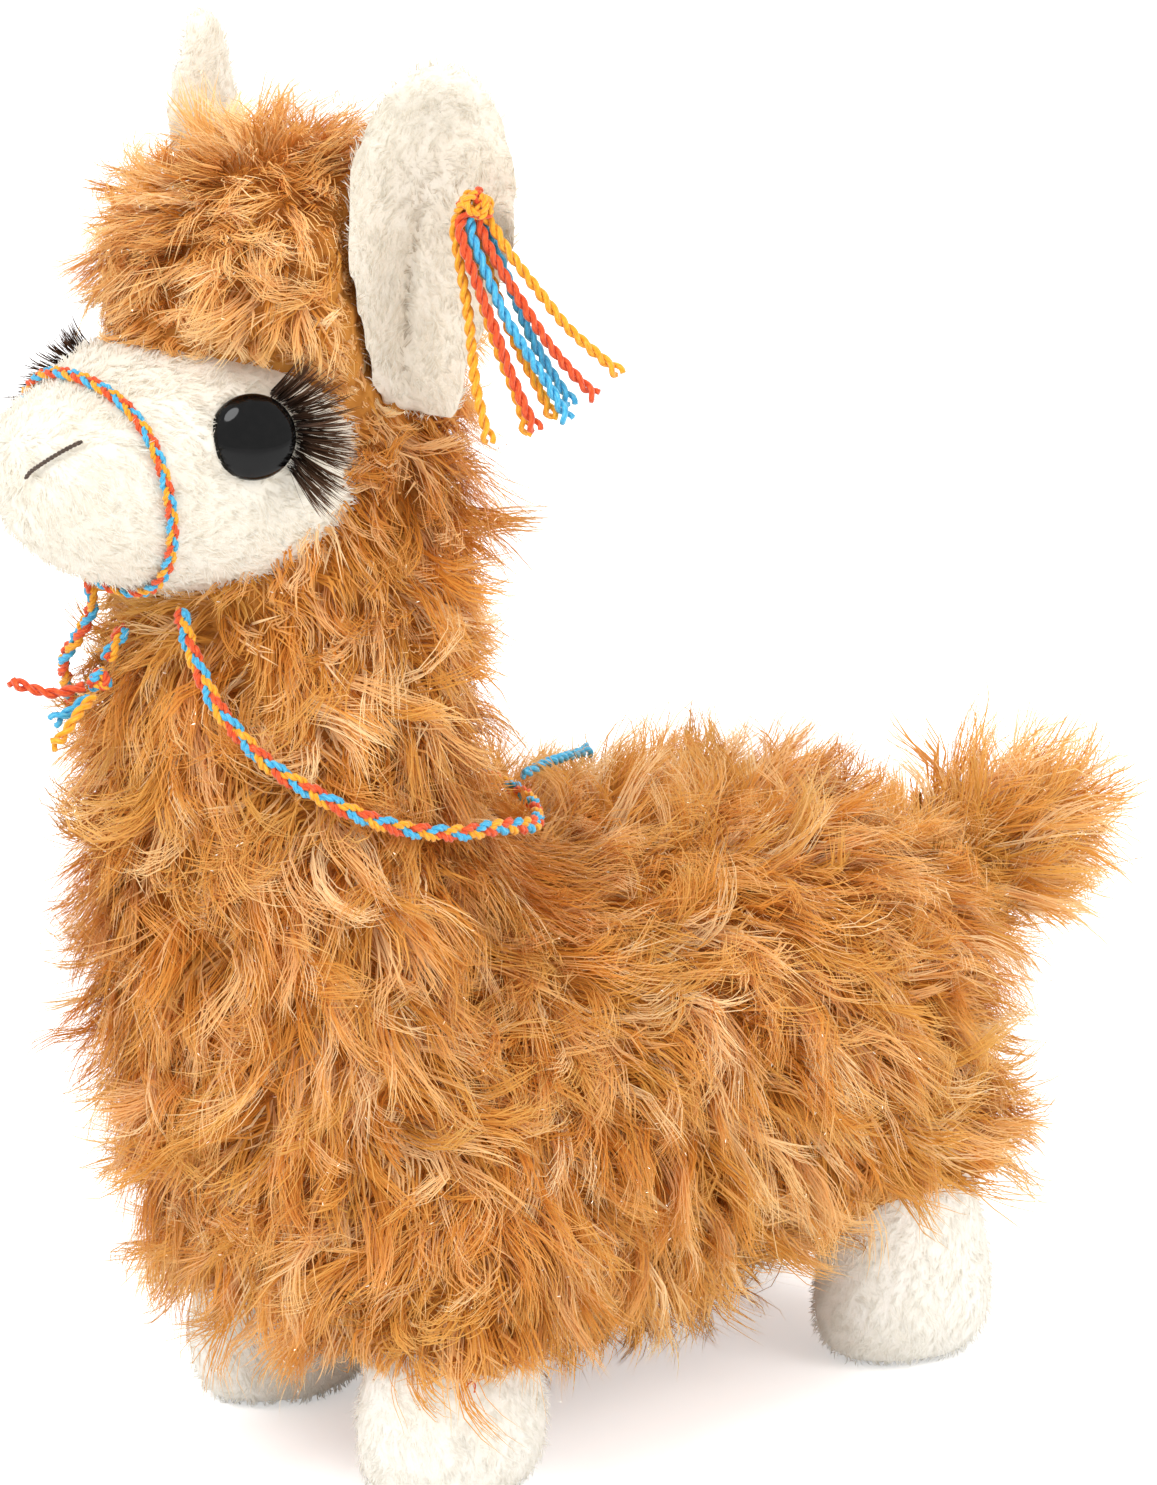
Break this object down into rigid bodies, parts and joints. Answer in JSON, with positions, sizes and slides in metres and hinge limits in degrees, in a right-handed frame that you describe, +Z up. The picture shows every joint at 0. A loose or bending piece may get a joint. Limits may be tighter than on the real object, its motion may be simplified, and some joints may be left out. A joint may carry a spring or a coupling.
{
  "type": "plush llama",
  "caption": "Standing stuffed llama toy: long caramel pile, cream plush face, ears and feet, glossy eyes with lashes, braided yarn halter and rein, and a yarn tassel on an ear.",
  "frame": {"origin": "middle of the overall box at floor level, under the soles of the feet", "axes": "+Z up; the llama looks along -Y; its left side is +X"},
  "size_m": [0.0896, 0.2103, 0.2114],
  "materials": {
    "long_pile": "long wavy synthetic pile, caramel brown with paler tips and darker roots",
    "crown_pile": "finer fluffy synthetic pile, orange brown",
    "cream_plush": "short dense cream plush",
    "eye_black": "polished black moulded plastic",
    "washer_plastic": "natural white moulded plastic",
    "lash_fibre": "stiff dark brown fibre",
    "mouth_thread": "brown grey embroidery thread",
    "braided_yarn": "red, yellow and blue yarn braided together",
    "yarn_yellow": "two-ply yellow yarn",
    "yarn_red": "two-ply orange red yarn",
    "yarn_blue": "two-ply sky blue yarn"
  },
  "bodies": {
    "root": {"fur_body": "long_pile", "tail": "long_pile", "crown_fur": "crown_pile", "face": "cream_plush", "ear_left": "cream_plush", "ear_right": "cream_plush", "foot_front_left": "cream_plush", "foot_front_right": "cream_plush", "foot_hind_left": "cream_plush", "foot_hind_right": "cream_plush", "eye_left": "eye_black", "eye_right": "eye_black", "eye_washer_left": "washer_plastic", "eye_washer_right": "washer_plastic", "eyelash_left": "lash_fibre", "eyelash_right": "lash_fibre", "mouth_stitch_left": "mouth_thread", "mouth_stitch_right": "mouth_thread", "noseband": "braided_yarn", "rein": "braided_yarn", "braid_end": "braided_yarn", "rein_knot": "braided_yarn", "yarn_end_red": "yarn_red", "yarn_end_blue": "yarn_blue", "yarn_end_yellow": "yarn_yellow", "yarn_end_back_blue": "yarn_blue", "tassel_knot": "yarn_yellow", "tassel_yellow_1": "yarn_yellow", "tassel_yellow_2": "yarn_yellow", "tassel_yellow_3": "yarn_yellow", "tassel_yellow_4": "yarn_yellow", "tassel_red_1": "yarn_red", "tassel_red_2": "yarn_red", "tassel_blue_1": "yarn_blue", "tassel_blue_2": "yarn_blue"}
  },
  "joints": []
}
